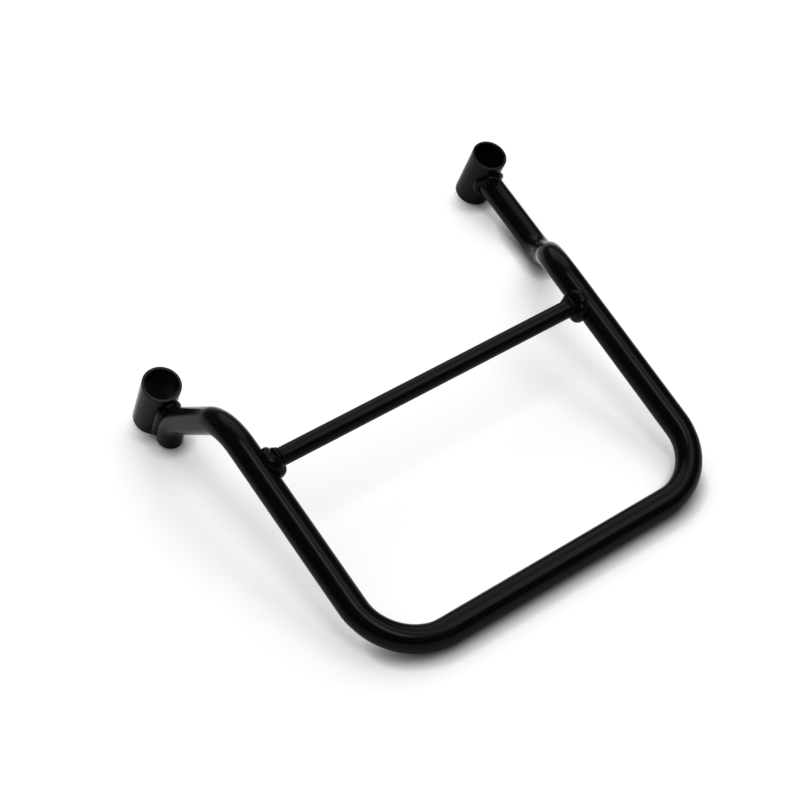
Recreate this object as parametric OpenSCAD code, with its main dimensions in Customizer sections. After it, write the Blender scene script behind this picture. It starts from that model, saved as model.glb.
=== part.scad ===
// Motorbike pannier frame: a bent tube loop with a welded crossbar and two mounting bosses.
// Lengths are in millimetres. The part lies on the ground plane as it is laid down:
// on the loop's bottom bar and on the lower rims of both bosses.

/* [Tubes] */
// Outside diameter of the bent frame tube
tube_d = 18; // [16:0.5:22]
// Wall of the bent frame tube
tube_wall = 2; // [1.5:0.25:3]
// Outside diameter of the crossbar
cross_d = 12; // [10:0.5:16]
// Wall of the crossbar
cross_wall = 1.5; // [1:0.25:2.5]

/* [Loop] */
// Distance between the arms at the bottom bar, centre to centre
loop_w = 247; // [220:1:300]
// Centreline radius of the two bottom corners
corner_r = 41.6; // [34:0.2:60]
// Outward lean of the left arm, degrees
splay_left = 0.8; // [0:0.1:3]
// Outward lean of the right arm, degrees
splay_right = 1.6; // [0:0.1:3]
// Distance of the crossbar from the bottom bar, centre to centre
cross_x = 143; // [110:1:165]
// Height of the crossbar above the plane of the loop
cross_rise = 1.5; // [0:0.5:2.5]

/* [Left side] */
// Distance from the bottom bar to the left arm's downward bend
left_arm = 181.3; // [176:0.5:190]
// Centreline radius of the left arm's downward bend
left_top_r = 38.5; // [30:0.5:42]
// Centreline radius of the bend beside the left boss
left_low_r = 32.4; // [26:0.2:36]
// Run of the left drop along the arm
left_run = 48.6; // [44:0.2:54]
// Outward step of the left drop
left_out = 2.5; // [0:0.1:6]
// Depth of the left drop below the loop
left_drop = 78.1; // [72:0.1:82]
// Distance that the left end lies behind the drop's foot
left_back = 2.1; // [0:0.1:4]
// Depth of the groove that seats the left boss in the tube's end
left_seat = 1; // [0.5:0.1:1.2]

/* [Right side] */
// Distance from the bottom bar to the right arm's downward bend
right_arm = 183.2; // [178:0.2:192]
// Centreline radius of the right arm's downward bend
right_top_r = 32.4; // [26:0.2:36]
// Centreline radius of the bend at the foot of the right drop
right_low_r = 32.4; // [26:0.2:36]
// Run of the right drop along the arm
right_run = 42.3; // [38:0.2:48]
// Outward step of the right drop
right_out = 52.6; // [46:0.2:60]
// Depth of the right drop below the loop
right_drop = 93.4; // [86:0.2:96]

/* [Bosses] */
// Outside diameter of each mounting boss
boss_d = 26.5; // [24:0.5:32]
// Bore of each mounting boss
boss_bore = 22.5; // [18:0.5:23]
// Length of each mounting boss
boss_h = 45; // [38:0.5:50]
// Edge break on the boss rims
boss_edge = 0.5; // [0.2:0.1:0.8]
// Lean of both bosses toward the right arm, degrees
boss_lean_side = 5; // [0:0.5:8]
// Lean of both bosses toward the bottom bar, degrees
boss_lean_front = 2.3; // [0:0.1:5]
// Distance of the right boss beyond the foot of the right drop
right_reach = 87.7; // [80:0.1:95]
// Outward step from the foot of the right drop to the right boss
right_step = 9.5; // [2:0.1:14]
// Height above the ground at which the tube meets the right boss
right_join = 26.6; // [22:0.2:30]

/* [Welds] */
// Leg length of the crossbar weld beads
cross_weld = 5; // [3:0.5:6]
// Leg length of the right boss weld bead
boss_weld = 4; // [3:0.5:5]
// Width of the weld fillet between the tube's end and the left boss
side_weld = 12.5; // [8:0.5:14]

/* [Rest] */
// Angle between the loop and the ground, degrees
rest_tilt = 21.8; // [18:0.1:25]

/* [Hidden] */
$fn = 64;
tube_r = tube_d / 2;
cross_r = cross_d / 2;
boss_r = boss_d / 2;
// how far a straight runs into a bend, and how much thicker the bend is
bite = 0.6;
shy = 0.03;
lift = tube_r + shy;
steel = [0.16, 0.16, 0.17];
bead = [0.2, 0.2, 0.21];

// vector and placing helpers
function unit(v) = v / norm(v);
function flat(v) = abs(v[0]) + abs(v[1]) < 0.000001;
function turn_to(v) = [0, acos(v[2] / norm(v)), flat(v) ? 0 : atan2(v[1], v[0])];
function angle_of(a, b) = acos(max(-1, min(1, unit(a) * unit(b))));
function cut_of(a, b, r) = r * tan(angle_of(a, b) / 2);
// turning angles that bring the axes X, Y and Z onto the unit vectors u, t and n
function turn_axes(u, t, n) = [atan2(t[2], n[2]), -asin(max(-1, min(1, u[2]))), atan2(u[1], u[0])];
// direction, and height above the ground, of what is given in the loop's own frame
function lean(v) = [v[0] * cos(rest_tilt) - v[2] * sin(rest_tilt), v[1], v[0] * sin(rest_tilt) + v[2] * cos(rest_tilt)];
function height(p) = lean(p)[2] + lift;

// boss axis, in the loop's own frame
boss_up = unit([-tan(boss_lean_front), -tan(boss_lean_side), 1]);
boss_lean = lean(boss_up);
boss_slope = boss_lean[2];
// lowest point of a disc square to the boss axis lies this far below its centre
function dip(r) = r * sqrt(1 - boss_slope * boss_slope);

// corners of the tube's centreline, in the loop's own frame
corner_left = [0, loop_w / 2, 0];
corner_right = [0, -loop_w / 2, 0];
top_left = [left_arm, loop_w / 2 + left_arm * tan(splay_left), 0];
top_right = [right_arm, -loop_w / 2 - right_arm * tan(splay_right), 0];
foot_left = top_left + [left_run, left_out, -left_drop];
foot_right = top_right + [right_run, -right_out, -right_drop];
// the left end runs down beside its boss and stops just above the ground
end_gap = 1;
end_line = foot_left - [left_back, 0, 0];
end_left = end_line - boss_up * ((height(end_line) - dip(tube_r) - end_gap) / boss_slope);

// the right boss stands beyond the foot of the right drop
join_flat = foot_right + [right_reach, -right_step, 0];
join_right = join_flat - [0, 0, 1] * ((height(join_flat) - right_join) / cos(rest_tilt));
foot_boss_right = join_right - boss_up * ((right_join - dip(boss_r - boss_edge)) / boss_slope);

// the left boss is seated in a shallow groove along the tube's end
beside = unit([1, 0, 0] - boss_up * boss_up[0]);
boss_line_left = end_left + beside * (boss_r + tube_r - left_seat);
foot_boss_left = boss_line_left - boss_up * ((height(boss_line_left) - dip(boss_r - boss_edge)) / boss_slope);

// outermost points of the part along X and Y, and the middle between them
function side_of(i) = boss_r * sqrt(1 - boss_lean[i] * boss_lean[i]);
high_x = lean(foot_boss_right + boss_up * boss_edge)[0] + side_of(0);
high_y = lean(foot_boss_left + boss_up * boss_edge)[1] + side_of(1);
low_y = lean(foot_boss_right + boss_up * (boss_h - boss_edge))[1] - side_of(1);
middle = [(high_x - lift) / 2, (high_y + low_y) / 2];

// each half of the centreline, from the middle of the bottom bar to its end
half_left = [[0, 0, 0], corner_left, top_left, foot_left, end_left];
half_right = [[0, 0, 0], corner_right, top_right, foot_right, join_right];
bends_left = [0, corner_r, left_top_r, left_low_r];
bends_right = [0, corner_r, right_top_r, right_low_r];

function way(p, i) = unit(p[i] - p[i - 1]);
function square_to(p, i) = unit(cross(way(p, i), way(p, i + 1)));
function trim(p, bends, i) = i == 0 || i == len(p) - 1 ? 0 : cut_of(way(p, i), way(p, i + 1), bends[i]);

// a straight round bar from a to b
module bar(a, b, r) {
  translate(a) rotate(turn_to(b - a)) cylinder(h = norm(b - a), r = r);
}

// bend i of a half and all that follows it, each placed on the end of the one before;
// a bend is a hair thicker than the straights, whose ends run a short way into it
module bend(p, bends, i, r, over) {
  turn = angle_of(way(p, i), way(p, i + 1));
  last = i == len(p) - 2;
  n = square_to(p, i);
  after = last ? n : square_to(p, i + 1);
  twist = atan2(cross(n, after) * way(p, i + 1), n * after);
  h = norm(p[i + 1] - p[i]) - trim(p, bends, i) - trim(p, bends, i + 1);
  translate([bends[i], 0, 0]) {
    rotate([90, 0, 180]) rotate_extrude(angle = turn, $fn = 72) translate([bends[i], 0]) circle(r = r + shy);
    rotate([0, turn, 0]) translate([-bends[i], 0, 0]) rotate([0, 0, twist]) {
      translate([0, 0, -bite]) cylinder(h = h + bite + (last ? over : bite), r = r);
      if (!last) translate([0, 0, h]) bend(p, bends, i + 1, r, over);
    }
  }
}

// one half of the tube from its corner on, as a solid round bar of radius r
module half(p, bends, r, over) {
  n = square_to(p, 1);
  rotate(turn_axes(cross(n, way(p, 1)), n, way(p, 1)))
    translate([0, 0, norm(p[1] - p[0]) - trim(p, bends, 1)]) bend(p, bends, 1, r, over);
}

// the whole bent centreline as a solid bar of radius r, its two ends longer by over
module run(r, over = 0) {
  low = corner_right + [0, trim(half_right, bends_right, 1) - bite, 0];
  bar(low, corner_left - [0, trim(half_left, bends_left, 1) - bite, 0], r);
  half(half_left, bends_left, r, over);
  half(half_right, bends_right, r, over);
}

// lays the loop's own frame down on the ground, the middle of the part over the origin
module laid() {
  translate([-middle[0], -middle[1], lift]) rotate([0, -rest_tilt, 0]) children();
}

// solid round body of a boss, standing on its foot point
module boss_solid(foot, r, grow) {
  translate(foot - boss_up * grow) rotate(turn_to(boss_up)) cylinder(h = boss_h + 2 * grow, r = r);
}

// hollow bent tube: open at the left end and grooved for the left boss, coped around the right boss
module frame_tube() {
  color(steel) laid() difference() {
    run(tube_r);
    run(tube_r - tube_wall, over = 2);
    boss_solid(foot_boss_right, boss_r, 20);
    boss_solid(foot_boss_left, boss_r, 20);
  }
}

// straight arm bodies that the crossbar runs into
module arm_solid(side, r) {
  top = side > 0 ? top_left : top_right;
  low = side > 0 ? corner_left : corner_right;
  bar(low, top, r);
}

cross_y_left = loop_w / 2 + cross_x * tan(splay_left);
cross_y_right = -loop_w / 2 - cross_x * tan(splay_right);

// crossbar: hollow, its ends shaped to the arms
module crossbar() {
  color(steel) laid() difference() {
    bar([cross_x, cross_y_right, cross_rise], [cross_x, cross_y_left, cross_rise], cross_r);
    bar([cross_x, cross_y_right - 1, cross_rise], [cross_x, cross_y_left + 1, cross_rise], cross_r - cross_wall);
    arm_solid(1, tube_r);
    arm_solid(-1, tube_r);
  }
}

// bored boss with broken edges
module boss(foot) {
  wall = (boss_d - boss_bore) / 2;
  laid() translate(foot) rotate(turn_to(boss_up)) rotate_extrude($fn = 96)
    translate([boss_bore / 2, 0]) polygon([
      [boss_edge, 0], [wall - boss_edge, 0], [wall, boss_edge], [wall, boss_h - boss_edge],
      [wall - boss_edge, boss_h], [boss_edge, boss_h], [0, boss_h - boss_edge], [0, boss_edge]]);
}

module boss_left() {
  color(steel) boss(foot_boss_left);
}

module boss_right() {
  color(steel) boss(foot_boss_right);
}

// solid of a round bead: a collar of radius r up to the height low, then a taper to r_end at high
module collar(r, low, r_end, high) {
  rotate_extrude($fn = 72) polygon([[0, 0], [r, 0], [r, low], [r_end, high], [0, high]]);
}

// fillet bead around the crossbar where it meets an arm, no higher than the arm itself
module cross_bead(side) {
  y_arm = side > 0 ? cross_y_left : cross_y_right;
  reach = tube_r + cross_weld;
  color(bead) laid() difference() {
    intersection() {
      translate([cross_x, y_arm, cross_rise]) rotate([side * 90, 0, 0])
        collar(cross_r + cross_weld, tube_r, cross_r + 0.6, reach);
      translate([cross_x - reach, y_arm, 0]) rotate([90, 0, 90]) linear_extrude(height = 2 * reach)
        polygon([[-side, tube_r - 0.4], [-side * reach, cross_rise + cross_r + 0.6],
                 [-side * reach, cross_rise - cross_r - 0.6], [-side, 0.4 - tube_r]]);
    }
    bar([cross_x, cross_y_right, cross_rise], [cross_x, cross_y_left, cross_rise], cross_r);
    arm_solid(side, tube_r);
  }
}

module weld_cross_left() {
  cross_bead(1);
}

module weld_cross_right() {
  cross_bead(-1);
}

// weld fillets on both sides between the tube's end and the left boss
module weld_boss_left() {
  low = foot_boss_left + boss_up * 3;
  color(bead) laid() difference() {
    translate(low) rotate(turn_axes(beside, cross(boss_up, beside), boss_up))
      translate([-(boss_r + tube_r), -side_weld / 2, 2]) cube([boss_r + tube_r, side_weld, 24]);
    boss_solid(foot_boss_left, boss_r, 20);
    run(tube_r);
  }
}

// fillet bead around the tube where it meets the right boss, no wider than the boss itself
module weld_boss_right() {
  way = unit(foot_right - join_right);
  aside = unit(cross(boss_up, way));
  reach = boss_r + boss_weld;
  color(bead) laid() difference() {
    intersection() {
      translate(join_right) rotate(turn_to(way)) collar(tube_r + boss_weld, boss_r, tube_r + 0.6, reach);
      translate(join_right - boss_up * reach) rotate(turn_axes(cross(aside, boss_up), aside, boss_up))
        linear_extrude(height = 2 * reach)
          polygon([[1, boss_r - 0.6], [reach, tube_r + 0.6], [reach, -tube_r - 0.6], [1, 0.6 - boss_r]]);
    }
    boss_solid(foot_boss_right, boss_r, 20);
    bar(join_right, foot_right, tube_r);
  }
}

frame_tube();
crossbar();
boss_left();
boss_right();
weld_cross_left();
weld_cross_right();
weld_boss_left();
weld_boss_right();
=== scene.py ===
# Pannier frame: a bent tube loop with a crossbar, two bored bosses and their welds, in a plain white studio.
import math

import bpy
from mathutils import Euler, Matrix, Vector


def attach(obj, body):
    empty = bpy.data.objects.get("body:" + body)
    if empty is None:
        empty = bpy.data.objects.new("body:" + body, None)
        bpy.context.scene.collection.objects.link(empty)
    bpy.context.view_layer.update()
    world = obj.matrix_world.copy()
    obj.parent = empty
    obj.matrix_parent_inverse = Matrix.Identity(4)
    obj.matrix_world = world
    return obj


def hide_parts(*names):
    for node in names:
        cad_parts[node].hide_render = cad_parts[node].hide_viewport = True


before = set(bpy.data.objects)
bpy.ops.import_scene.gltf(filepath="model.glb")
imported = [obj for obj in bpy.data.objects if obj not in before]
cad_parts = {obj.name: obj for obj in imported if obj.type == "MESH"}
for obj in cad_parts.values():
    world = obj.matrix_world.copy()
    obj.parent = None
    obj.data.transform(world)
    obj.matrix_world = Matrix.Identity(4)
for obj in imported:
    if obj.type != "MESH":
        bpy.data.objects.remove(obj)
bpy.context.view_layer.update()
print("frame loaded")

# Sizes are in millimetres and degrees, in the loop's own frame: X along the arms, Y to the left arm, Z up.
rest = {"tilt": 21.8, "lift": 9.03, "middleX": 171.346, "middleY": -30.8974}

tube = {
    "radius": 9.0,
    "wall": 2.0,
    "loopWidth": 247.0,
    "cornerRadius": 41.6,
    "splayLeft": 0.8,
    "splayRight": 1.6,
    "leftArm": 181.3,
    "leftTopRadius": 38.5,
    "leftLowRadius": 32.4,
    "leftDrop": (48.6, 2.5, -78.1),
    "rightArm": 183.2,
    "rightTopRadius": 32.4,
    "rightLowRadius": 32.4,
    "rightDrop": (42.3, -52.6, -93.4),
    "rightReach": (87.7, -9.5, 0.0),
    "rightJoin": 26.6,  # height above the ground at which it meets the right boss
    "leftBack": 2.1,  # the left end lies this far behind the drop's foot
    "leftSeat": 1.0,  # groove in which the left boss sits
    "endGap": -0.9,  # moves the left end up its line; at this value its lip just clears the floor
    "flatten": 0.05,  # share of its width that the tube loses in a bend
    "rampDegrees": 16.0,  # stretch of a bend over which the flattening comes in
    "boreDepth": 34.0,  # how far in the left end is open
    "lip": 0.4,  # rounding of the left end's wall
    "tuck": 0.4,  # how far the right end reaches into its boss
    "straightStep": 9.0,  # spacing of the rings on the straights
    "turnStep": 2.5,  # degrees between the rings of a bend
    "sides": 56,
}

boss = {
    "radius": 13.25,
    "bore": 11.25,
    "height": 45.0,
    "edge": 0.5,
    "leanSide": 5.0,
    "leanFront": 2.3,
    "boreKeep": 0.8,  # no weld comes nearer to the bore than this
    "rimSteps": 6,
    "holdNear": 0.25,  # rings that keep the walls flat beside the rims
    "holdFar": 1.5,
    "borePaintedShadeShare": 0.4,  # shares of the edge that take the bore's painted shade and the rim's painted highlight
    "rimPaintedHighlightShare": 0.7,
    "sides": 112,
}

tilt = math.radians(rest["tilt"])
metre = 0.001
capStep = 0.05  # from a tube's last ring to the point that closes it


def lean(v):
    x = v[0] * math.cos(tilt) - v[2] * math.sin(tilt)
    z = v[0] * math.sin(tilt) + v[2] * math.cos(tilt)
    return Vector((x, v[1], z))


def laid(p):
    return (lean(p) + Vector((-rest["middleX"], -rest["middleY"], rest["lift"]))) * metre


def height(p):
    return lean(p).z + rest["lift"]


# ---- fixed points of the frame, as in the solids; only the left end reaches lower here
def slope(degrees):
    return math.tan(math.radians(degrees))


bossUp = Vector((-slope(boss["leanFront"]), -slope(boss["leanSide"]), 1)).normalized()
bossSlope = lean(bossUp).z


def dip(r):
    return r * math.sqrt(1 - bossSlope * bossSlope)


cornerLeft = Vector((0, tube["loopWidth"] / 2, 0))
cornerRight = -cornerLeft
topLeft = cornerLeft + Vector((tube["leftArm"], tube["leftArm"] * slope(tube["splayLeft"]), 0))
topRight = cornerRight + Vector((tube["rightArm"], -tube["rightArm"] * slope(tube["splayRight"]), 0))
footLeft = topLeft + Vector(tube["leftDrop"])
footRight = topRight + Vector(tube["rightDrop"])
endLine = footLeft - Vector((tube["leftBack"], 0, 0))
endLeft = endLine - bossUp * ((height(endLine) - dip(tube["radius"]) - tube["endGap"]) / bossSlope)
joinFlat = footRight + Vector(tube["rightReach"])
joinRight = joinFlat - Vector((0, 0, 1)) * ((height(joinFlat) - tube["rightJoin"]) / math.cos(tilt))
rimDip = dip(boss["radius"] - boss["edge"])
bossFootRight = joinRight - bossUp * ((tube["rightJoin"] - rimDip) / bossSlope)
beside = (Vector((1, 0, 0)) - bossUp * bossUp.x).normalized()
besideEnd = endLeft + beside * (boss["radius"] + tube["radius"] - tube["leftSeat"])
bossFootLeft = besideEnd - bossUp * ((height(besideEnd) - rimDip) / bossSlope)
armLeft = (topLeft - cornerLeft).normalized()
armRight = (topRight - cornerRight).normalized()


# ---- node building helpers
def addNode(tree, kind, **settings):
    node = tree.nodes.new(kind)
    for key, value in settings.items():
        setattr(node, key, value)
    return node


def feed(tree, socket, value):
    if isinstance(value, bpy.types.NodeSocket):
        tree.links.new(value, socket)
    else:
        socket.default_value = value


def mathOf(tree, operation, *values):
    node = addNode(tree, "ShaderNodeMath", operation=operation)
    for socket, value in zip(node.inputs, values):
        feed(tree, socket, value)
    return node.outputs[0]


def vectorOf(tree, operation, *values, out=0):
    node = addNode(tree, "ShaderNodeVectorMath", operation=operation)
    for socket, value in zip(node.inputs, values):
        feed(tree, socket, value)
    return node.outputs[out]


def scaled(tree, vector, factor):
    node = addNode(tree, "ShaderNodeVectorMath", operation="SCALE")
    feed(tree, node.inputs[0], vector)
    feed(tree, node.inputs["Scale"], factor)
    return node.outputs[0]


def named(tree, name, kind):
    node = addNode(tree, "GeometryNodeInputNamedAttribute", data_type=kind)
    node.inputs["Name"].default_value = name
    return node.outputs["Attribute"]


def newTree(name, sizes):
    tree = bpy.data.node_groups.new(name, "GeometryNodeTree")
    face = tree.interface
    face.new_socket(name="Path", in_out="INPUT", socket_type="NodeSocketGeometry")
    for label, kind, value in sizes:
        face.new_socket(name=label, in_out="INPUT", socket_type=kind).default_value = value
    face.new_socket(name="Finish", in_out="INPUT", socket_type="NodeSocketMaterial")
    face.new_socket(name="Piece", in_out="OUTPUT", socket_type="NodeSocketGeometry")
    return tree, addNode(tree, "NodeGroupInput").outputs


def sweepStart(tree, inputs, radius, sides):
    # a circle swept along the path; every point keeps where its ring's middle was
    curve = addNode(tree, "GeometryNodeMeshToCurve")
    feed(tree, curve.inputs["Mesh"], inputs["Path"])
    keep = addNode(tree, "GeometryNodeStoreNamedAttribute", data_type="FLOAT_VECTOR", domain="POINT")
    keep.inputs["Name"].default_value = "core"
    feed(tree, keep.inputs["Geometry"], curve.outputs[0])
    feed(tree, keep.inputs["Value"], addNode(tree, "GeometryNodeInputPosition").outputs[0])
    circle = addNode(tree, "GeometryNodeCurvePrimitiveCircle", mode="RADIUS")
    feed(tree, circle.inputs["Resolution"], sides)
    feed(tree, circle.inputs["Radius"], radius)
    sweep = addNode(tree, "GeometryNodeCurveToMesh")
    feed(tree, sweep.inputs["Curve"], keep.outputs[0])
    feed(tree, sweep.inputs["Profile Curve"], circle.outputs[0])
    here = addNode(tree, "GeometryNodeInputPosition").outputs[0]
    core = named(tree, "core", "FLOAT_VECTOR")
    return sweep.outputs[0], core, vectorOf(tree, "SUBTRACT", here, core)


def sweepEnd(tree, inputs, geometry, core, offset):
    # moves the points to their places, turns inner walls round, closes the ends
    place = addNode(tree, "GeometryNodeSetPosition")
    feed(tree, place.inputs["Geometry"], geometry)
    feed(tree, place.inputs["Position"], vectorOf(tree, "ADD", core, offset))
    flip = addNode(tree, "GeometryNodeFlipFaces")
    feed(tree, flip.inputs["Mesh"], place.outputs[0])
    feed(tree, flip.inputs["Selection"], mathOf(tree, "GREATER_THAN", named(tree, "inner", "FLOAT"), 0.5))
    close = addNode(tree, "GeometryNodeMergeByDistance")
    feed(tree, close.inputs["Geometry"], flip.outputs[0])
    close.inputs["Distance"].default_value = 0.000004
    smooth = addNode(tree, "GeometryNodeSetShadeSmooth")
    feed(tree, smooth.inputs["Geometry"], close.outputs[0])
    real = addNode(tree, "GeometryNodeRealizeInstances")
    feed(tree, real.inputs[0], smooth.outputs[0])
    finish = addNode(tree, "GeometryNodeSetMaterial")
    feed(tree, finish.inputs["Geometry"], real.outputs[0])
    feed(tree, finish.inputs["Material"], inputs["Finish"])
    feed(tree, addNode(tree, "NodeGroupOutput").inputs[0], finish.outputs[0])


def buildTubeTree():
    sizes = [
        ("Radius", "NodeSocketFloat", 0.009),
        ("Sides", "NodeSocketInt", 48),
        ("Flatten", "NodeSocketFloat", 0.05),
    ]
    tree, inputs = newTree("bentTube", sizes)
    geometry, core, offset = sweepStart(tree, inputs, inputs["Radius"], inputs["Sides"])
    ring = scaled(tree, offset, named(tree, "ringScale", "FLOAT"))
    side = named(tree, "side", "FLOAT_VECTOR")
    toSide = vectorOf(tree, "DOT_PRODUCT", ring, side, out=1)
    share = mathOf(tree, "MULTIPLY", named(tree, "squeeze", "FLOAT"), inputs["Flatten"])
    pressed = vectorOf(tree, "SUBTRACT", ring, scaled(tree, side, mathOf(tree, "MULTIPLY", toSide, share)))
    sweepEnd(tree, inputs, geometry, core, pressed)
    return tree


def buildBeadTree():
    sizes = [
        ("Radius", "NodeSocketFloat", 0.0033),
        ("Sides", "NodeSocketInt", 20),
        ("Pitch", "NodeSocketFloat", 0.0026),
        ("Depth", "NodeSocketFloat", 0.15),
        ("Crescent", "NodeSocketFloat", 0.5),
        ("Lump", "NodeSocketFloat", 0.15),
        ("Lump Scale", "NodeSocketFloat", 260.0),
    ]
    tree, inputs = newTree("weldBead", sizes)
    geometry, core, offset = sweepStart(tree, inputs, inputs["Radius"], inputs["Sides"])
    # ripples that lie across the bead as crescents
    across = vectorOf(tree, "DOT_PRODUCT", offset, named(tree, "side", "FLOAT_VECTOR"), out=1)
    across = mathOf(tree, "DIVIDE", across, inputs["Radius"])
    bow = mathOf(tree, "MULTIPLY", mathOf(tree, "MULTIPLY", across, across), inputs["Crescent"])
    turns = mathOf(tree, "ADD", mathOf(tree, "DIVIDE", named(tree, "along", "FLOAT"), inputs["Pitch"]), bow)
    wave = mathOf(tree, "ABSOLUTE", mathOf(tree, "SINE", mathOf(tree, "MULTIPLY", turns, math.pi)))
    groove = mathOf(tree, "MULTIPLY", mathOf(tree, "SUBTRACT", 1.0, wave), inputs["Depth"])
    noise = addNode(tree, "ShaderNodeTexNoise", noise_dimensions="3D")
    feed(tree, noise.inputs["Scale"], inputs["Lump Scale"])
    noise.inputs["Detail"].default_value = 1.0
    feed(tree, noise.inputs["Vector"], core)
    lump = mathOf(tree, "MULTIPLY", mathOf(tree, "SUBTRACT", noise.outputs[0], 0.5), inputs["Lump"])
    size = mathOf(tree, "ADD", mathOf(tree, "SUBTRACT", 1.0, groove), mathOf(tree, "MULTIPLY", lump, 2.0))
    size = mathOf(tree, "MULTIPLY", size, named(tree, "ringScale", "FLOAT"))
    sweepEnd(tree, inputs, geometry, core, scaled(tree, offset, size))
    return tree


tubeTree = buildTubeTree()
beadTree = buildBeadTree()
print("node trees built")


# ---- paths
def pathMesh(name, strands):
    # each strand is a list of points with their attributes, and whether it closes on itself
    points, edges = [], []
    for strand, closed in strands:
        first = len(points)
        points += strand
        edges += [(i, i + 1) for i in range(first, len(points) - 1)]
        if closed:
            edges.append((len(points) - 1, first))
    mesh = bpy.data.meshes.new(name)
    mesh.from_pydata([p["at"] for p in points], edges, [])
    for key in ("ringScale", "squeeze", "inner", "along"):
        values = [float(p.get(key, 0.0)) for p in points]
        mesh.attributes.new(key, "FLOAT", "POINT").data.foreach_set("value", values)
    sides = [c for p in points for c in p.get("side", (0.0, 0.0, 0.0))]
    mesh.attributes.new("side", "FLOAT_VECTOR", "POINT").data.foreach_set("vector", sides)
    return mesh


def sweptPiece(name, mesh, tree, values, finish):
    maker = bpy.data.objects.new(name + ".maker", mesh)
    bpy.context.collection.objects.link(maker)
    modifier = maker.modifiers.new("make", "NODES")
    modifier.node_group = tree
    for item in tree.interface.items_tree:
        if item.in_out == "INPUT" and item.name in values:
            modifier[item.identifier] = values[item.name]
        elif item.in_out == "INPUT" and item.name == "Finish":
            modifier[item.identifier] = finish
    graph = bpy.context.evaluated_depsgraph_get()
    made = bpy.data.meshes.new_from_object(maker.evaluated_get(graph))
    bpy.data.objects.remove(maker, do_unlink=True)
    made.name = name
    piece = bpy.data.objects.new(name, made)
    bpy.context.collection.objects.link(piece)
    return piece


def smoothStep(x):
    x = max(0.0, min(1.0, x))
    return x * x * (3 - 2 * x)


def straightStretch(a, b, step):
    count = max(1, int((b - a).length / step))
    return [{"point": a.lerp(b, i / count), "side": Vector(), "squeeze": 0.0} for i in range(count)]


def bentStretch(corners, radii, step, turnStep, ramp):
    # straights and true arcs along the corners; each sample knows the way to its bend's centre
    samples, last = [], corners[0]
    for i in range(1, len(corners) - 1):
        before = (corners[i] - corners[i - 1]).normalized()
        after = (corners[i + 1] - corners[i]).normalized()
        turn = before.angle(after)
        trim = radii[i] * math.tan(turn / 2)
        inward = (after - before * after.dot(before)).normalized()
        start = corners[i] - before * trim
        centre = start + inward * radii[i]
        samples += straightStretch(last, start, step)[(1 if samples else 0):]
        count = max(6, int(math.degrees(turn) / turnStep))
        for k in range(count + 1):
            a = turn * k / count
            side = inward * math.cos(a) - before * math.sin(a)
            press = smoothStep(math.degrees(min(a, turn - a)) / ramp)
            samples.append({"point": centre - side * radii[i], "side": side, "squeeze": press})
        last = corners[i] + after * trim
    samples += straightStretch(last, corners[-1], step)[1:]
    samples.append({"point": corners[-1], "side": Vector(), "squeeze": 0.0})
    return samples


def ringPoint(sample, ringScale=1.0, inner=0.0):
    return {
        "at": laid(sample["point"]),
        "side": lean(sample["side"]),
        "squeeze": sample["squeeze"],
        "ringScale": ringScale,
        "inner": inner,
    }


def roundedLip(end, heading, outer, inner, edge):
    # rings that turn the wall's outer and inner faces into one rounded lip; the first one is its middle
    middle = (outer + inner) / 2
    outside, inside = [], []
    for degrees in (0.0, 24.0, 45.0, 68.0, 90.0):
        a = math.radians(degrees)
        at = end + heading * (0.006 + edge * (1 - math.cos(a)))
        outside.append((at, outer - edge * (1 - math.sin(a))))
        inside.append((at, inner + edge * (1 - math.sin(a))))
    return [(end, middle)] + outside, [(end, middle)] + inside


cope = {"behind": 0.0005, "around": 0.03}  # metres from an end within which its points are shaped


def copeTo(mesh, nearPoint, axisPoint, axisWay, radius, moveWay):
    # the points near an end slide along the tube until they lie on the surface of the tube or boss it meets
    for vertex in mesh.vertices:
        toEnd = vertex.co - nearPoint
        if toEnd.dot(moveWay) < -cope["behind"] or toEnd.length > cope["around"]:
            continue
        across = vertex.co - axisPoint
        across -= axisWay * across.dot(axisWay)
        way = moveWay - axisWay * moveWay.dot(axisWay)
        a, b, c = way.dot(way), across.dot(way), across.dot(across) - radius * radius
        root = b * b - a * c
        if root > 0:
            vertex.co += moveWay * ((-b - math.sqrt(root)) / a)


def clearBore(mesh, foot):
    # what reaches through a boss's wall is drawn back into the wall
    axis, start, least = lean(bossUp), laid(foot), (boss["bore"] + boss["boreKeep"]) * metre
    for vertex in mesh.vertices:
        across = vertex.co - start
        across -= axis * across.dot(axis)
        if 0 < across.length < least:
            vertex.co += across.normalized() * (least - across.length)


# ---- materials
grain = {
    "waveScale": 150.0,
    "patchScale": 38.0,
    "speckScale": 2600.0,
    "speckLimit": 0.29,  # a higher limit leaves fewer specks
    "patchRough": 0.16,
    "speckRough": 0.5,
}
edgeCoat = {"from": 0.72, "to": 0.88, "ior": 1.8, "roughness": 0.12}  # stronger gloss where seen edge-on


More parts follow.
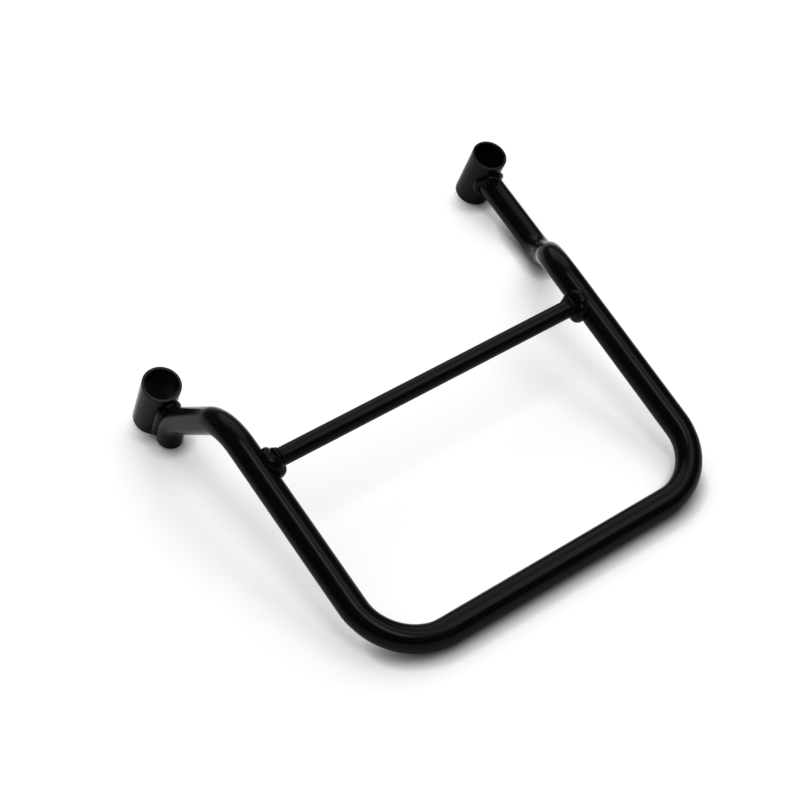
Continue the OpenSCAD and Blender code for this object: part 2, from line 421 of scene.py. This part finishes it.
def coatGroup():
    # grain and slight unevenness of a baked coat, shared by all finishes
    tree = bpy.data.node_groups.new("bakedCoat", "ShaderNodeTree")
    face = tree.interface
    defaults = {"Grain Size": 900.0, "Grain": 0.5, "Wave": 0.5, "Shade Shift": 0.3, "Dust": 0.2}
    for label, value in defaults.items():
        face.new_socket(name=label, in_out="INPUT", socket_type="NodeSocketFloat").default_value = value
    face.new_socket(name="Height", in_out="OUTPUT", socket_type="NodeSocketFloat")
    face.new_socket(name="Roughness Shift", in_out="OUTPUT", socket_type="NodeSocketFloat")
    face.new_socket(name="Shade", in_out="OUTPUT", socket_type="NodeSocketFloat")
    inputs = addNode(tree, "NodeGroupInput").outputs
    place = addNode(tree, "ShaderNodeTexCoord").outputs["Object"]

    def noise(scale, detail, rough):
        node = addNode(tree, "ShaderNodeTexNoise", noise_dimensions="3D")
        feed(tree, node.inputs["Vector"], place)
        feed(tree, node.inputs["Scale"], scale)
        node.inputs["Detail"].default_value = detail
        node.inputs["Roughness"].default_value = rough
        return mathOf(tree, "SUBTRACT", node.outputs[0], 0.5)

    fine = noise(inputs["Grain Size"], 2.0, 0.55)
    wave = noise(grain["waveScale"], 1.0, 0.5)
    patch = noise(grain["patchScale"], 3.0, 0.6)
    specks = noise(grain["speckScale"], 1.0, 0.5)
    fine = mathOf(tree, "MULTIPLY", fine, inputs["Grain"])
    high = mathOf(tree, "ADD", fine, mathOf(tree, "MULTIPLY", wave, inputs["Wave"]))
    dusty = mathOf(tree, "GREATER_THAN", specks, grain["speckLimit"])
    dusty = mathOf(tree, "MULTIPLY", dusty, inputs["Dust"])
    shade = mathOf(tree, "ADD", mathOf(tree, "MULTIPLY", patch, inputs["Shade Shift"]), dusty)
    out = addNode(tree, "NodeGroupOutput")
    feed(tree, out.inputs["Height"], high)
    rough = mathOf(tree, "MULTIPLY", patch, grain["patchRough"])
    rough = mathOf(tree, "ADD", rough, mathOf(tree, "MULTIPLY", dusty, grain["speckRough"]))
    feed(tree, out.inputs["Roughness Shift"], rough)
    feed(tree, out.inputs["Shade"], shade)
    return tree


coatTree = coatGroup()


def coatMaterial(name, dark, pale, roughness, values, bump, gloss=1.22):
    material = bpy.data.materials.new(name)
    material.use_nodes = True
    tree = material.node_tree
    shader = tree.nodes["Principled BSDF"]
    group = addNode(tree, "ShaderNodeGroup", node_tree=coatTree)
    for label, value in values.items():
        group.inputs[label].default_value = value
    tone = addNode(tree, "ShaderNodeMix", data_type="RGBA")
    feed(tree, tone.inputs[0], mathOf(tree, "ADD", group.outputs["Shade"], 0.5))
    tone.inputs[6].default_value = (*dark, 1)
    tone.inputs[7].default_value = (*pale, 1)
    feed(tree, shader.inputs["Base Color"], tone.outputs[2])
    feed(tree, shader.inputs["Roughness"], mathOf(tree, "ADD", group.outputs["Roughness Shift"], roughness))
    lift = addNode(tree, "ShaderNodeBump")
    lift.inputs["Strength"].default_value = bump
    lift.inputs["Distance"].default_value = 0.0002
    feed(tree, lift.inputs["Height"], group.outputs["Height"])
    feed(tree, shader.inputs["Normal"], lift.outputs[0])
    shader.inputs["IOR"].default_value = gloss
    edgeOn = addNode(tree, "ShaderNodeLayerWeight").outputs["Facing"]
    ramp = addNode(tree, "ShaderNodeMapRange")
    feed(tree, ramp.inputs["Value"], edgeOn)
    ramp.inputs["From Min"].default_value = edgeCoat["from"]
    ramp.inputs["From Max"].default_value = edgeCoat["to"]
    feed(tree, shader.inputs["Coat Weight"], ramp.outputs[0])
    shader.inputs["Coat IOR"].default_value = edgeCoat["ior"]
    shader.inputs["Coat Roughness"].default_value = edgeCoat["roughness"]
    return material


coat = {"Grain Size": 900.0, "Grain": 0.25, "Wave": 0.6, "Shade Shift": 0.5, "Dust": 0.12}
black = ((0.0014, 0.0014, 0.0015), (0.0032, 0.0032, 0.0034))
weldBlack = ((0.0014, 0.0014, 0.0015), (0.003, 0.003, 0.0032))
# painted shade: the bore's black is darker than the coat outside, for the shade inside the bore
boreShadeBlack = ((0.0003, 0.0003, 0.0003), (0.0009, 0.0009, 0.0009))
# painted highlight: the top rim's black is paler than the walls, for the light falling on the rim
rimHighlightBlack = ((0.004, 0.004, 0.0042), (0.009, 0.009, 0.0094))
tubeCoat = coatMaterial("blackTubeCoat", *black, 0.22, coat, 0.12)
bossCoat = coatMaterial("blackBossCoat", *black, 0.28, {**coat, "Grain": 0.5}, 0.2)
weldCoat = coatMaterial("blackWeldCoat", *weldBlack, 0.24, {**coat, "Grain": 0.6, "Wave": 1.0}, 0.25)
# a darker, rougher, less glossy copy of the coat for the bore: painted shade
borePaintedShadeCoat = coatMaterial("blackBorePaintedShade", *boreShadeBlack, 0.5, {**coat, "Grain": 0.8}, 0.3, 1.12)
# a paler, glossier copy of the coat for the top rim: painted highlight
rimPaintedHighlightCoat = coatMaterial("blackRimPaintedHighlight", *rimHighlightBlack, 0.3, {**coat, "Grain": 0.5}, 0.2, 1.36)
print("finishes made")


# ---- the bent tube
def makeTube():
    corners = [endLeft, footLeft, topLeft, cornerLeft, cornerRight, topRight, footRight, joinRight]
    radii = [
        0,
        tube["leftLowRadius"],
        tube["leftTopRadius"],
        tube["cornerRadius"],
        tube["cornerRadius"],
        tube["rightTopRadius"],
        tube["rightLowRadius"],
        0,
    ]
    outer, inner = tube["radius"], tube["radius"] - tube["wall"]
    centreline = bentStretch(corners, radii, tube["straightStep"], tube["turnStep"], tube["rampDegrees"])
    heading = (footLeft - endLeft).normalized()
    lipOut, lipIn = roundedLip(endLeft, heading, outer, inner, tube["lip"])
    plain = {"side": Vector(), "squeeze": 0.0}
    skin = [ringPoint({"point": at, **plain}, r / outer) for at, r in lipOut]
    skin += [ringPoint(s) for s in centreline[1:]]
    closing = joinRight + (joinRight - footRight).normalized() * capStep
    skin.append(ringPoint({"point": closing, **plain}, 0.0))
    bore = [ringPoint({"point": at, **plain}, r / outer, 1.0) for at, r in lipIn]
    run = 0.0
    for a, b in zip(centreline, centreline[1:]):
        run += (b["point"] - a["point"]).length
        bore.append(ringPoint(b, inner / outer, 1.0))
        if run > tube["boreDepth"]:
            break
    last, onward = bore[-1]["at"], (bore[-1]["at"] - bore[-2]["at"]).normalized()
    bore.append({**ringPoint(b, 0.0, 1.0), "at": last + onward * (capStep * metre)})
    mesh = pathMesh("tubePath", [(skin, False), (bore, False)])
    values = {"Radius": outer * metre, "Sides": tube["sides"], "Flatten": tube["flatten"]}
    piece = sweptPiece("bentTube", mesh, tubeTree, values, tubeCoat)
    way = lean(joinRight - footRight).normalized()
    near = laid(joinRight)
    copeTo(piece.data, near, near, lean(bossUp), (boss["radius"] - tube["tuck"]) * metre, way)
    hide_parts("frame_tube")
    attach(piece, "root")
    return piece


# ---- the crossbar, its ends shaped to the arms
crossbar = {
    "radius": 6.0,
    "alongArm": 143.0,
    "rise": 1.5,  # above the arms' middle plane
    "short": 2.0,  # it is drawn to this much short of the arms' centrelines, then cut back to their near sides
    "tuck": 0.7,  # how far its ends reach into the arms
    "rings": 24,
    "sides": 40,
}


def armPoint(side, along):
    start, way = (cornerLeft, armLeft) if side > 0 else (cornerRight, armRight)
    return start + way * (along / way.x)


def makeCrossbar():
    ends = []
    for side in (1, -1):
        on = armPoint(side, crossbar["alongArm"])
        ends.append(Vector((on.x, on.y, crossbar["rise"])))
    left, right = ends
    way = (right - left).normalized()
    count = crossbar["rings"]
    plain = {"side": Vector(), "squeeze": 0.0}
    start, stop = left + way * crossbar["short"], right - way * crossbar["short"]
    points = [ringPoint({"point": start - way * capStep, **plain}, 0.0)]
    points += [ringPoint({"point": start.lerp(stop, i / count), **plain}) for i in range(count + 1)]
    points.append(ringPoint({"point": stop + way * capStep, **plain}, 0.0))
    mesh = pathMesh("crossbarPath", [(points, False)])
    values = {"Radius": crossbar["radius"] * metre, "Sides": crossbar["sides"], "Flatten": 0.0}
    piece = sweptPiece("crossbarTube", mesh, tubeTree, values, tubeCoat)
    hidden = (tube["radius"] - crossbar["tuck"]) * metre
    copeTo(piece.data, laid(start), laid(cornerLeft), lean(armLeft), hidden, -lean(way))
    copeTo(piece.data, laid(stop), laid(cornerRight), lean(armRight), hidden, lean(way))
    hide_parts("crossbar")
    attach(piece, "root")
    return piece


# ---- the bosses: rounded rims, an open bore
def bossProfile():
    outer, inner, top, edge = boss["radius"], boss["bore"], boss["height"], boss["edge"]
    rims = [
        (outer, edge, -90, 0),
        (outer, top - edge, 0, 90),
        (inner, top - edge, 90, 180),
        (inner, edge, 180, 270),
    ]
    near, far, steps = boss["holdNear"], boss["holdFar"], boss["rimSteps"]
    holds = [edge + near, edge + far, top / 2, top - edge - far, top - edge - near]
    points = []
    for radius, level, first, last in rims:
        sign = -1 if radius == outer else 1
        for k in range(steps + 1):
            a = math.radians(first + (last - first) * k / steps)
            points.append((radius + sign * edge + edge * math.cos(a), level + edge * math.sin(a)))
        if (first, last) == (-90, 0):
            points += [(outer, h) for h in holds]
        if (first, last) == (90, 180):
            points += [(inner, h) for h in reversed(holds)]
    return points


def makeBoss(name, node, foot):
    up = lean(bossUp)
    across = up.cross(Vector((0, 1, 0))).normalized()
    other = up.cross(across)
    profile = bossProfile()
    count = boss["sides"]
    verts, faces = [], []
    for i in range(count):
        a = 2 * math.pi * i / count
        out = across * math.cos(a) + other * math.sin(a)
        verts += [laid(foot) + (out * r + up * h) * metre for r, h in profile]
    size = len(profile)
    for i in range(count):
        j = (i + 1) % count
        for k in range(size):
            n = (k + 1) % size
            faces.append((i * size + k, j * size + k, j * size + n, i * size + n))
    mesh = bpy.data.meshes.new(name)
    mesh.from_pydata(verts, [], faces)
    mesh.materials.append(bossCoat)
    mesh.materials.append(borePaintedShadeCoat)
    mesh.materials.append(rimPaintedHighlightCoat)
    for index, polygon in enumerate(mesh.polygons):
        polygon.use_smooth = True
        one, two = profile[index % size], profile[(index + 1) % size]
        # the bore's faces take the painted-shade copy of the coat
        if max(one[0], two[0]) < boss["bore"] + boss["edge"] * boss["borePaintedShadeShare"]:
            polygon.material_index = 1
        # the top rim's faces take the painted-highlight copy of the coat
        elif min(one[1], two[1]) > boss["height"] - boss["edge"] * boss["rimPaintedHighlightShare"]:
            polygon.material_index = 2
    mesh.update()
    piece = bpy.data.objects.new(name, mesh)
    bpy.context.collection.objects.link(piece)
    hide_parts(node)
    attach(piece, "root")
    return piece


# ---- the weld beads
weld = {
    "crossBead": 4.6,
    "crossFull": 0.94,  # share of crossBead at the bar's top and underside
    "crossUneven": 0.2,  # the bead is that much fuller towards the bottom bar, slimmer towards the bosses
    "laterRuns": ((4.2, 0.42), (6.2, 0.25)),  # distance from the arm's side and size beside the first run
    "laterFull": 0.75,
    "laterUneven": 0.25,
    "armOff": 1.1,  # the crossbar bead's line lies this far outside the arm
    "armSkew": 0.2,  # less towards the bosses, more towards the bottom bar
    "armMargin": 1.2,  # and no nearer than this to the arm's top and underside
    "bossBead": 2.9,
    "tubeOff": 0.5,  # the beads' lines lie this far outside the tube that they go round
    "sideBead": 3.7,
    "sideOff": 0.9,
    "sideLow": 5.0,
    "sideHigh": 30.0,
    "sideRise": 14,
    "sideTurn": 16,
    "sideCrown": 1.1,
    "sideTaper": 2.5,
    "around": 96,
    "pitch": 3.8,
    "depth": 0.055,
    "crescent": 0.5,
    "lump": 0.09,
    "lumpScale": 260.0,
    "step": 0.28,
    "sides": 22,
}


def beadPiece(name, node, strands, radius, foot=None):
    mesh = pathMesh(name + "Path", strands)
    values = {
        "Radius": radius * metre,
        "Sides": weld["sides"],
        "Pitch": 1.0,
        "Depth": weld["depth"],
        "Crescent": weld["crescent"],
        "Lump": weld["lump"],
        "Lump Scale": weld["lumpScale"],
    }
    piece = sweptPiece(name, mesh, beadTree, values, weldCoat)
    if foot:
        clearBore(piece.data, foot)
    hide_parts(node)
    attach(piece, "root")
    return piece


def beadStrand(points, outwards, closed, ends=0.0, fullness=None):
    # evens out the spacing; along counts whole ripples, so that a closed bead meets itself
    loop = points + [points[0]] if closed else points
    out = outwards + [outwards[0]] if closed else outwards
    full = fullness or [1.0] * len(points)
    full = full + [full[0]] if closed else full
    lengths = [0.0]
    for a, b in zip(loop, loop[1:]):
        lengths.append(lengths[-1] + (b - a).length)
    total = lengths[-1]
    ripples = max(1, round(total / weld["pitch"]))
    count = int(total / weld["step"])
    strand, k = [], 0
    for i in range(count if closed else count + 1):
        s = total * i / count
        while k < len(lengths) - 2 and lengths[k + 1] < s:
            k += 1
        share = (s - lengths[k]) / max(1e-9, lengths[k + 1] - lengths[k])
        at = loop[k].lerp(loop[k + 1], share)
        way = (loop[k + 1] - loop[k]).normalized()
        side = way.cross(out[k].lerp(out[k + 1], share)).normalized()
        taper = 1.0
        if not closed:
            near = min(s, total - s)
            taper = math.sqrt(max(0.0, 1 - (1 - min(1.0, near / ends)) ** 2)) if ends else 1.0
        taper *= full[k] + (full[k + 1] - full[k]) * share
        along = ripples * i / count
        strand.append({"at": laid(at), "side": lean(side), "ringScale": taper, "along": along})
    return strand, closed


def makeCrossWeld(name, node, side):
    r, grow, count = crossbar["radius"], weld["tubeOff"], weld["around"]
    most = tube["radius"] - weld["armMargin"]
    points, outwards, fullness = [], [], []
    for k in range(count):
        a = 2 * math.pi * k / count
        x, z = (r + grow) * math.cos(a), crossbar["rise"] + (r + grow) * math.sin(a)
        z = max(-most, min(most, z))
        d = math.sqrt((tube["radius"] + weld["armOff"] - weld["armSkew"] * math.cos(a)) ** 2 - z * z)
        start = armPoint(side, crossbar["alongArm"] + x)
        points.append(Vector((start.x, start.y - side * d, z)))
        fromArm = Vector((0, -side * d, z)).normalized()
        fromBar = Vector((math.cos(a), 0, math.sin(a)))
        outwards.append((fromArm + fromBar).normalized())
        fullness.append(weld["crossFull"] - weld["crossUneven"] * math.cos(a))
    strands = [beadStrand(points, outwards, True, fullness=fullness)]
    # slimmer runs lie on the bar against the first one, and thin out towards the bottom bar
    for reach, share in weld["laterRuns"]:
        points, outwards, fullness = [], [], []
        for k in range(count):
            a = 2 * math.pi * k / count
            around = Vector((math.cos(a), 0, math.sin(a)))
            start = armPoint(side, crossbar["alongArm"] + r * around.x)
            y = start.y - side * (tube["radius"] + reach)
            points.append(Vector((start.x, y, crossbar["rise"] + r * around.z)))
            outwards.append(around)
            fullness.append(share * (weld["laterFull"] + weld["laterUneven"] * math.cos(a)))
        strands.append(beadStrand(points, outwards, True, fullness=fullness))
    return beadPiece(name, node, strands, weld["crossBead"])


def makeBossWeldRight():
    way = (footRight - joinRight).normalized()
    aside = bossUp.cross(way).normalized()
    level = way.cross(aside).normalized()
    r, grow, count = tube["radius"], weld["tubeOff"], weld["around"]
    points, outwards = [], []
    for k in range(count):
        a = 2 * math.pi * k / count
        off = aside * (r + grow) * math.cos(a) + level * (r + grow) * math.sin(a)
        across = off - bossUp * off.dot(bossUp)
        flat = way - bossUp * way.dot(bossUp)
        b, c = across.dot(flat), across.dot(across) - (boss["radius"] + grow) ** 2
        t = (-b + math.sqrt(b * b - flat.dot(flat) * c)) / flat.dot(flat)
        point = joinRight + off + way * t
        points.append(point)
        fromBoss = point - joinRight
        fromBoss = (fromBoss - bossUp * fromBoss.dot(bossUp)).normalized()
        outwards.append((fromBoss + off.normalized()).normalized())
    strands = [beadStrand(points, outwards, True)]
    return beadPiece("bossWeldRight", "weld_boss_right", strands, weld["bossBead"], bossFootRight)


def makeBossWeldLeft():
    # up one groove between the tube's end and the boss, over the top and down the other
    toBoss = boss["radius"] + weld["sideOff"]
    toTube = tube["radius"] + weld["sideOff"]
    gap = boss["radius"] + tube["radius"] - tube["leftSeat"]
    x = (gap * gap + toBoss ** 2 - toTube ** 2) / (2 * gap)
    y = math.sqrt(toBoss ** 2 - x * x)
    aside = bossUp.cross(beside).normalized()
    low, high, rise, turn = weld["sideLow"], weld["sideHigh"], weld["sideRise"], weld["sideTurn"]
    middle = bossFootLeft - beside * x
    points, outwards = [], []
    for k in range(rise + 1):
        level = low + (high - low) * k / rise
        points.append(middle + aside * y + bossUp * level)
        outwards.append(aside)
    for k in range(1, turn):
        a = math.pi * k / turn
        level = high + y * weld["sideCrown"] * math.sin(a)
        points.append(middle + aside * y * math.cos(a) + bossUp * level)
        outwards.append((aside * math.cos(a) + bossUp * math.sin(a)).normalized())
    for k in range(rise + 1):
        level = high - (high - low) * k / rise
        points.append(middle - aside * y + bossUp * level)
        outwards.append(-aside)
    strands = [beadStrand(points, outwards, False, weld["sideTaper"])]
    return beadPiece("bossWeldLeft", "weld_boss_left", strands, weld["sideBead"], bossFootLeft)


makeTube()
makeCrossbar()
print("tubes made")
makeBoss("bossLeft", "boss_left", bossFootLeft)
makeBoss("bossRight", "boss_right", bossFootRight)
print("bosses made")
makeCrossWeld("crossWeldLeft", "weld_cross_left", 1)
makeCrossWeld("crossWeldRight", "weld_cross_right", -1)
makeBossWeldLeft()
makeBossWeldRight()
print("welds made")


# ---- studio
studio = {
    "floorHalf": 3.0,  # metres
    "floorColour": 0.93,
    "floorGlow": 0.14,  # only as the camera sees it
    "floorRough": 0.8,
    "floorShine": 0.1,
    "floorPatches": 6.0,
    "floorUneven": 0.01,
    "floorInGloss": 0.55,  # how pale the floor is in the coat's reflections
    "paintedShadowReach": 0.011,  # metres from what stands on it within which the floor's colour darkens: a painted shadow
    "paintedShadowDepth": 1.3,
    "worldLight": 0.74,
    "brightSide": (0.85, -0.15, 0.5),  # the soft light is stronger from behind the bosses
    "domeBase": 0.55,
    "domeGain": 0.75,
    "domeLeast": 0.1,
    "worldSeen": 1.0,
    "worldGloss": 0.03,
}

# name, place and target in the loop's frame, width, depth, radiance
lamps = (
    ("softBoxNear", (300, 100, 1640), (300, 100, 0), 1300, 420, 4.0),
    ("softBoxFar", (300, -810, 1640), (300, -810, 0), 1300, 780, 1.7),
    ("backLight", (1800, -780, 850), (100, 0, 0), 1900, 1700, 0.9),
)

shot = {
    "sensor": 36.0,
    "lens": 77.011,
    "clip": (0.05, 50.0),
    "at": (-0.69814, 0.47076, 0.78743),
    "turn": (0.81918, 0.05088, -2.18374),
}


def makeFloor():
    half = studio["floorHalf"]
    mesh = bpy.data.meshes.new("floor")
    corners = [(-half, -half, 0), (half, -half, 0), (half, half, 0), (-half, half, 0)]
    mesh.from_pydata(corners, [], [(0, 1, 2, 3)])
    floor = bpy.data.objects.new("floor", mesh)
    bpy.context.collection.objects.link(floor)
    material = bpy.data.materials.new("paleFloor")
    material.use_nodes = True
    tree = material.node_tree
    shader = tree.nodes["Principled BSDF"]
    noise = addNode(tree, "ShaderNodeTexNoise")
    noise.inputs["Scale"].default_value = studio["floorPatches"]
    feed(tree, noise.inputs["Vector"], addNode(tree, "ShaderNodeTexCoord").outputs["Object"])
    seen = addNode(tree, "ShaderNodeLightPath").outputs["Is Camera Ray"]
    spread = mathOf(tree, "MULTIPLY", seen, studio["floorColour"] - studio["floorInGloss"])
    pale = mathOf(tree, "ADD", spread, studio["floorInGloss"])
    pale = mathOf(tree, "ADD", pale, mathOf(tree, "MULTIPLY", noise.outputs[0], studio["floorUneven"]))
    # painted shadow: ambient occlusion darkens the floor's colour and its glow next to whatever stands on the
    # floor
    near = addNode(tree, "ShaderNodeAmbientOcclusion", samples=8)
    near.inputs["Distance"].default_value = studio["paintedShadowReach"]
    paintedShadow = mathOf(tree, "POWER", near.outputs["AO"], studio["paintedShadowDepth"])
    pale = mathOf(tree, "MULTIPLY", pale, paintedShadow)
    colour = addNode(tree, "ShaderNodeCombineColor")
    for socket in colour.inputs:
        feed(tree, socket, pale)
    feed(tree, shader.inputs["Base Color"], colour.outputs[0])
    shader.inputs["Roughness"].default_value = studio["floorRough"]
    shader.inputs["Specular IOR Level"].default_value = studio["floorShine"]
    shader.inputs["Emission Color"].default_value = (1, 1, 1, 1)
    glow = mathOf(tree, "MULTIPLY", seen, studio["floorGlow"])
    # the camera-only glow takes the same painted shadow
    feed(tree, shader.inputs["Emission Strength"], mathOf(tree, "MULTIPLY", glow, paintedShadow))
    mesh.materials.append(material)


def makeWorld():
    world = bpy.data.worlds.new("studio")
    bpy.context.scene.world = world
    world.use_nodes = True
    tree = world.node_tree
    shader = tree.nodes["Background"]
    path = addNode(tree, "ShaderNodeLightPath").outputs
    sky = addNode(tree, "ShaderNodeTexCoord").outputs["Generated"]
    toward = vectorOf(tree, "DOT_PRODUCT", sky, Vector(studio["brightSide"]).normalized(), out=1)
    dome = mathOf(tree, "ADD", mathOf(tree, "MULTIPLY", toward, studio["domeGain"]), studio["domeBase"])
    dome = mathOf(tree, "MAXIMUM", dome, studio["domeLeast"])
    dome = mathOf(tree, "MULTIPLY", dome, studio["worldLight"])
    glossy = path["Is Glossy Ray"]
    matt = mathOf(tree, "MULTIPLY", dome, mathOf(tree, "SUBTRACT", 1.0, glossy))
    plain = mathOf(tree, "ADD", matt, mathOf(tree, "MULTIPLY", glossy, studio["worldGloss"]))
    seen = mathOf(tree, "MULTIPLY", path["Is Camera Ray"], studio["worldSeen"])
    strength = mathOf(tree, "MAXIMUM", plain, seen)
    shader.inputs["Color"].default_value = (1, 1, 1, 1)
    feed(tree, shader.inputs["Strength"], strength)


def areaLamp(name, at, target, width, depth, radiance):
    data = bpy.data.lights.new(name, "AREA")
    data.shape = "RECTANGLE"
    data.size, data.size_y = width * metre, depth * metre
    data.energy = radiance * math.pi * data.size * data.size_y
    lamp = bpy.data.objects.new(name, data)
    bpy.context.collection.objects.link(lamp)
    lamp.location = laid(Vector(at))
    way = lean(Vector(target) - Vector(at)).normalized()
    across = lean(Vector((1, 0, 0)))
    across = (across - way * across.dot(way)).normalized()
    turn = Matrix((across, (-way).cross(across), -way)).transposed()
    lamp.rotation_euler = turn.to_euler()


def makeCamera():
    data = bpy.data.cameras.new("camera")
    data.sensor_width = shot["sensor"]
    data.lens = shot["lens"]
    data.clip_start, data.clip_end = shot["clip"]
    camera = bpy.data.objects.new("camera", data)
    bpy.context.collection.objects.link(camera)
    camera.location = shot["at"]
    camera.rotation_euler = Euler(shot["turn"], "XYZ")
    bpy.context.scene.camera = camera


makeFloor()
makeWorld()
for lamp in lamps:
    areaLamp(*lamp)
makeCamera()
bpy.context.scene.view_settings.view_transform = "Standard"
print("studio set")
